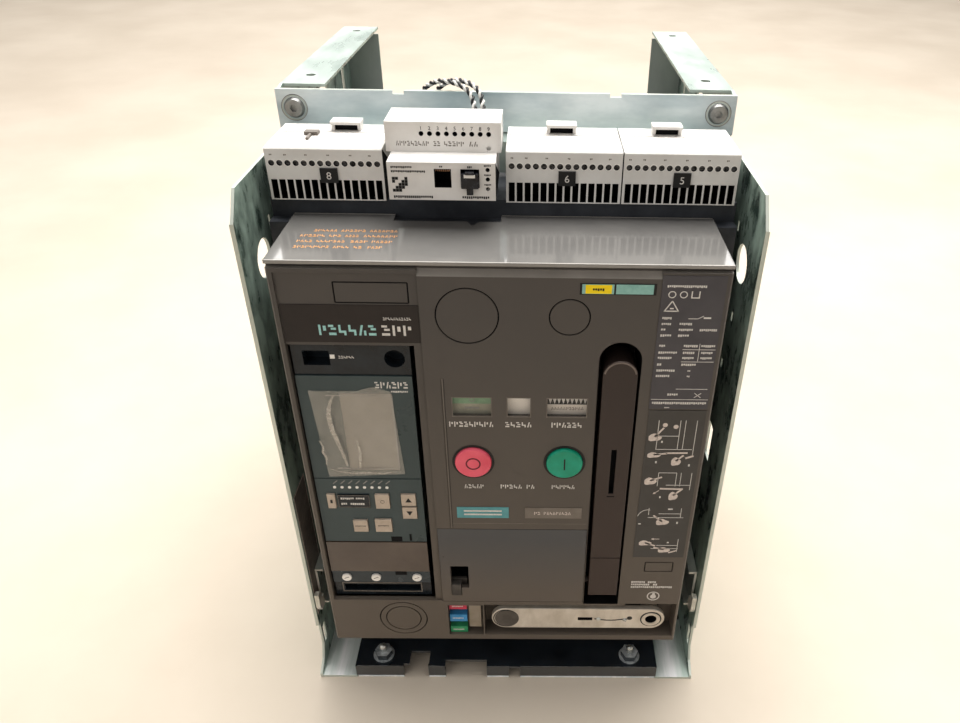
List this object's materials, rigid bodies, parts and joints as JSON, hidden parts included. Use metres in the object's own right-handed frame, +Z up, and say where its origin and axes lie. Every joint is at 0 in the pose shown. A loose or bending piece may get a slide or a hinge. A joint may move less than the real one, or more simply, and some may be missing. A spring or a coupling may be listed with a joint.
{
  "type": "air circuit breaker",
  "caption": "Withdrawable air circuit breaker in a sheet-metal guide frame, with trip unit, push buttons, charging handle, racking crank, terminal row and rear busbar terminals.",
  "frame": {"origin": "on the floor, below the middle of the whole object", "axes": "+X to the right seen from the front, +Y to the back, +Z up; the front panel faces -Y"},
  "size_m": [0.3214, 0.4544, 0.4697],
  "materials": {
    "zinc_plate": "zinc-plated sheet steel with a faint greenish sheen",
    "black_steel": "black coated sheet steel",
    "steel": "plain machined steel",
    "bright_steel": "bright nickel-plated crank",
    "copper": null,
    "housing": "blue-black moulded housing",
    "panel": "warm dark grey moulded panel, satin",
    "cover": "smoke grey, glossy, slightly see-through",
    "terminal": "light grey terminal plastic",
    "screw": "zinc-plated screws",
    "module": "light grey module plastic",
    "plug": "dark plug",
    "wire": "black and white twisted wires",
    "label": "printed plates",
    "window": "clear windows",
    "flag_green": "two-field flag, dark green and red",
    "flag_white": "two-field flag, white and green",
    "flag_spring": "two-field flag, white and yellow",
    "red": "red button",
    "green": "green button",
    "handle": "dark brown handle",
    "knob": "dark knob",
    "pointer": "beige pointer",
    "latch": "grey slide",
    "unit_black": "black trip unit housing",
    "unit_face": "blue-grey face plate",
    "display": "display window under a protective film",
    "unit_brown": "brown cover",
    "key": "rubber keys",
    "arc": "splitter plates",
    "transformer": "moulded coils"
  },
  "bodies": {
    "guide_frame": {"left_side_plate": "zinc_plate", "right_side_plate": "zinc_plate", "front_cross_member": "black_steel", "base_bolts": "screw", "rear_cross_member": "zinc_plate", "top_crossbar": "zinc_plate", "crossbar_screws": "screw", "rear_contact_housing": "housing", "main_terminals": "copper", "terminal_carrier": "zinc_plate", "terminal_blocks": "terminal", "terminal_screws": "screw", "module_upper_housing": "module", "module_lower_housing": "module", "network_plug": "plug", "wire_pairs": "wire"},
    "draw_out_rails": {"left_draw_out_rail": "zinc_plate", "right_draw_out_rail": "zinc_plate"},
    "breaker": {"front_panel": "panel", "top_cover": "cover", "lower_cover": "panel", "label_plates": "label", "indicator_windows": "window", "trip_unit_housing": "unit_black", "trip_unit_face": "unit_face", "display": "display", "rating_plug": "unit_black", "trip_unit_cover": "unit_brown", "pole_housing_front": "housing", "pole_housing_rear": "housing", "arc_chutes": "arc", "bus_stubs": "copper", "finger_clusters": "copper", "current_transformers": "transformer", "mechanism_frame": "steel", "closing_spring": "steel"},
    "position_pointer": {"position_pointer": "pointer"},
    "contact_flag": {"contact_flag": "flag_green"},
    "ready_flag": {"ready_flag": "flag_white"},
    "spring_flag": {"spring_flag": "flag_spring"},
    "open_button": {"open_button": "red"},
    "close_button": {"close_button": "green"},
    "trip_lever": {"trip_lever": "steel"},
    "close_lever": {"close_lever": "steel"},
    "locking_slide": {"locking_slide": "latch"},
    "charging_handle": {"charging_handle": "handle"},
    "crank": {"crank_arm": "bright_steel", "crank_knob": "knob"},
    "racking_spindle": {"racking_spindle": "steel"},
    "racking_cross_shaft": {"racking_cross_shaft": "steel"},
    "key_menu": {"key_menu": "key"},
    "key_back": {"key_back": "key"},
    "key_up": {"key_up": "key"},
    "key_down": {"key_down": "key"},
    "key_store": {"key_store": "key"},
    "key_test": {"key_test": "key"},
    "contact_arms": {"contact_arms": "copper"},
    "main_shaft": {"main_shaft": "steel"},
    "coupling_links": {"coupling_links": "steel"},
    "cam_shaft": {"cam_shaft": "steel"}
  },
  "joints": [
    {"name": "rails_draw_out", "type": "slide", "parent": "guide_frame", "child": "draw_out_rails", "axis": [0, -1, 0], "range_m": [0, 0.22]},
    {"name": "racking", "type": "slide", "parent": "draw_out_rails", "child": "breaker", "axis": [0, -1, 0], "range_m": [0, 0.088]},
    {"name": "pointer_slide", "type": "slide", "parent": "breaker", "child": "position_pointer", "axis": [0, 0, -1], "range_m": [0, 0.0071]},
    {"name": "contact_flag_slide", "type": "slide", "parent": "breaker", "child": "contact_flag", "axis": [0, 0, -1], "range_m": [0, 0.0176]},
    {"name": "ready_flag_slide", "type": "slide", "parent": "breaker", "child": "ready_flag", "axis": [0, 0, -1], "range_m": [0, 0.0175]},
    {"name": "spring_flag_slide", "type": "slide", "parent": "breaker", "child": "spring_flag", "axis": [0, 0, -1], "range_m": [0, 0.0175]},
    {"name": "open_button_push", "type": "slide", "parent": "breaker", "child": "open_button", "axis": [0, 1, 0], "range_m": [0, 0.004], "stiffness_N_per_m": 900, "springref_m": -0.002},
    {"name": "close_button_push", "type": "slide", "parent": "breaker", "child": "close_button", "axis": [0, 1, 0], "range_m": [0, 0.004], "stiffness_N_per_m": 900, "springref_m": -0.002},
    {"name": "trip_lever_tip", "type": "hinge", "parent": "breaker", "child": "trip_lever", "pos_m": [-0.0206, -0.17475, 0.232], "axis": [-1, 0, 0], "range_deg": [0, 24.5]},
    {"name": "close_lever_tip", "type": "hinge", "parent": "breaker", "child": "close_lever", "pos_m": [0.0425, -0.17475, 0.232], "axis": [-1, 0, 0], "range_deg": [0, 24.5]},
    {"name": "locking_slide_lift", "type": "slide", "parent": "breaker", "child": "locking_slide", "axis": [0, 0, 1], "range_m": [0, 0.012]},
    {"name": "handle_swing", "type": "hinge", "parent": "breaker", "child": "charging_handle", "pos_m": [0.0763, -0.21575, 0.118], "axis": [1, 0, 0], "range_deg": [0, 88]},
    {"name": "crank_pull", "type": "slide", "parent": "breaker", "child": "crank", "axis": [0, -1, 0], "range_m": [0, 0.03]},
    {"name": "spindle_turn", "type": "hinge", "parent": "breaker", "child": "racking_spindle", "pos_m": [0.118, -0.16475, 0.0775], "axis": [0, -1, 0], "range_deg": [0, 5547]},
    {"name": "cross_shaft_turn", "type": "hinge", "parent": "breaker", "child": "racking_cross_shaft", "pos_m": [0, -0.13275, 0.1026], "axis": [1, 0, 0], "range_deg": [0, 555]},
    {"name": "key_menu_push", "type": "slide", "parent": "breaker", "child": "key_menu", "axis": [0, 1, 0], "range_m": [0, 0.0008], "stiffness_N_per_m": 1500, "springref_m": -0.0005},
    {"name": "key_back_push", "type": "slide", "parent": "breaker", "child": "key_back", "axis": [0, 1, 0], "range_m": [0, 0.0008], "stiffness_N_per_m": 1500, "springref_m": -0.0005},
    {"name": "key_up_push", "type": "slide", "parent": "breaker", "child": "key_up", "axis": [0, 1, 0], "range_m": [0, 0.0008], "stiffness_N_per_m": 1500, "springref_m": -0.0005},
    {"name": "key_down_push", "type": "slide", "parent": "breaker", "child": "key_down", "axis": [0, 1, 0], "range_m": [0, 0.0008], "stiffness_N_per_m": 1500, "springref_m": -0.0005},
    {"name": "key_store_push", "type": "slide", "parent": "breaker", "child": "key_store", "axis": [0, 1, 0], "range_m": [0, 0.0008], "stiffness_N_per_m": 1500, "springref_m": -0.0005},
    {"name": "key_test_push", "type": "slide", "parent": "breaker", "child": "key_test", "axis": [0, 1, 0], "range_m": [0, 0.0008], "stiffness_N_per_m": 1500, "springref_m": -0.0005},
    {"name": "main_shaft_turn", "type": "hinge", "parent": "breaker", "child": "main_shaft", "pos_m": [0, -0.07475, 0.17], "axis": [1, 0, 0], "range_deg": [0, 57.4], "stiffness_Nm_per_rad": 4, "springref_deg": -17.19},
    {"name": "contact_arm_swing", "type": "hinge", "parent": "breaker", "child": "contact_arms", "pos_m": [0, -0.01975, 0.135], "axis": [1, 0, 0], "range_deg": [-18.1, 0]},
    {"name": "coupling_link_swing", "type": "hinge", "parent": "main_shaft", "child": "coupling_links", "pos_m": [0, -0.05595, 0.15857], "axis": [1, 0, 0], "range_deg": [-95.5, 0]},
    {"name": "cam_shaft_turn", "type": "hinge", "parent": "breaker", "child": "cam_shaft", "pos_m": [0, -0.14075, 0.292], "axis": [1, 0, 0], "continuous": true}
  ],
  "couplings": [
    {"joint": "pointer_slide", "follows": "racking", "ratio": 0.08},
    {"joint": "spindle_turn", "follows": "racking", "rad_per_m": 1100},
    {"joint": "cross_shaft_turn", "follows": "racking", "rad_per_m": 110},
    {"joint": "trip_lever_tip", "follows": "open_button_push", "rad_per_m": 104.72},
    {"joint": "close_lever_tip", "follows": "close_button_push", "rad_per_m": 104.72},
    {"joint": "contact_arm_swing", "follows": "main_shaft_turn", "ratio": -0.3136},
    {"joint": "coupling_link_swing", "follows": "main_shaft_turn", "ratio": -1.662},
    {"joint": "contact_flag_slide", "follows": "main_shaft_turn", "m_per_rad": 0.017468}
  ]
}
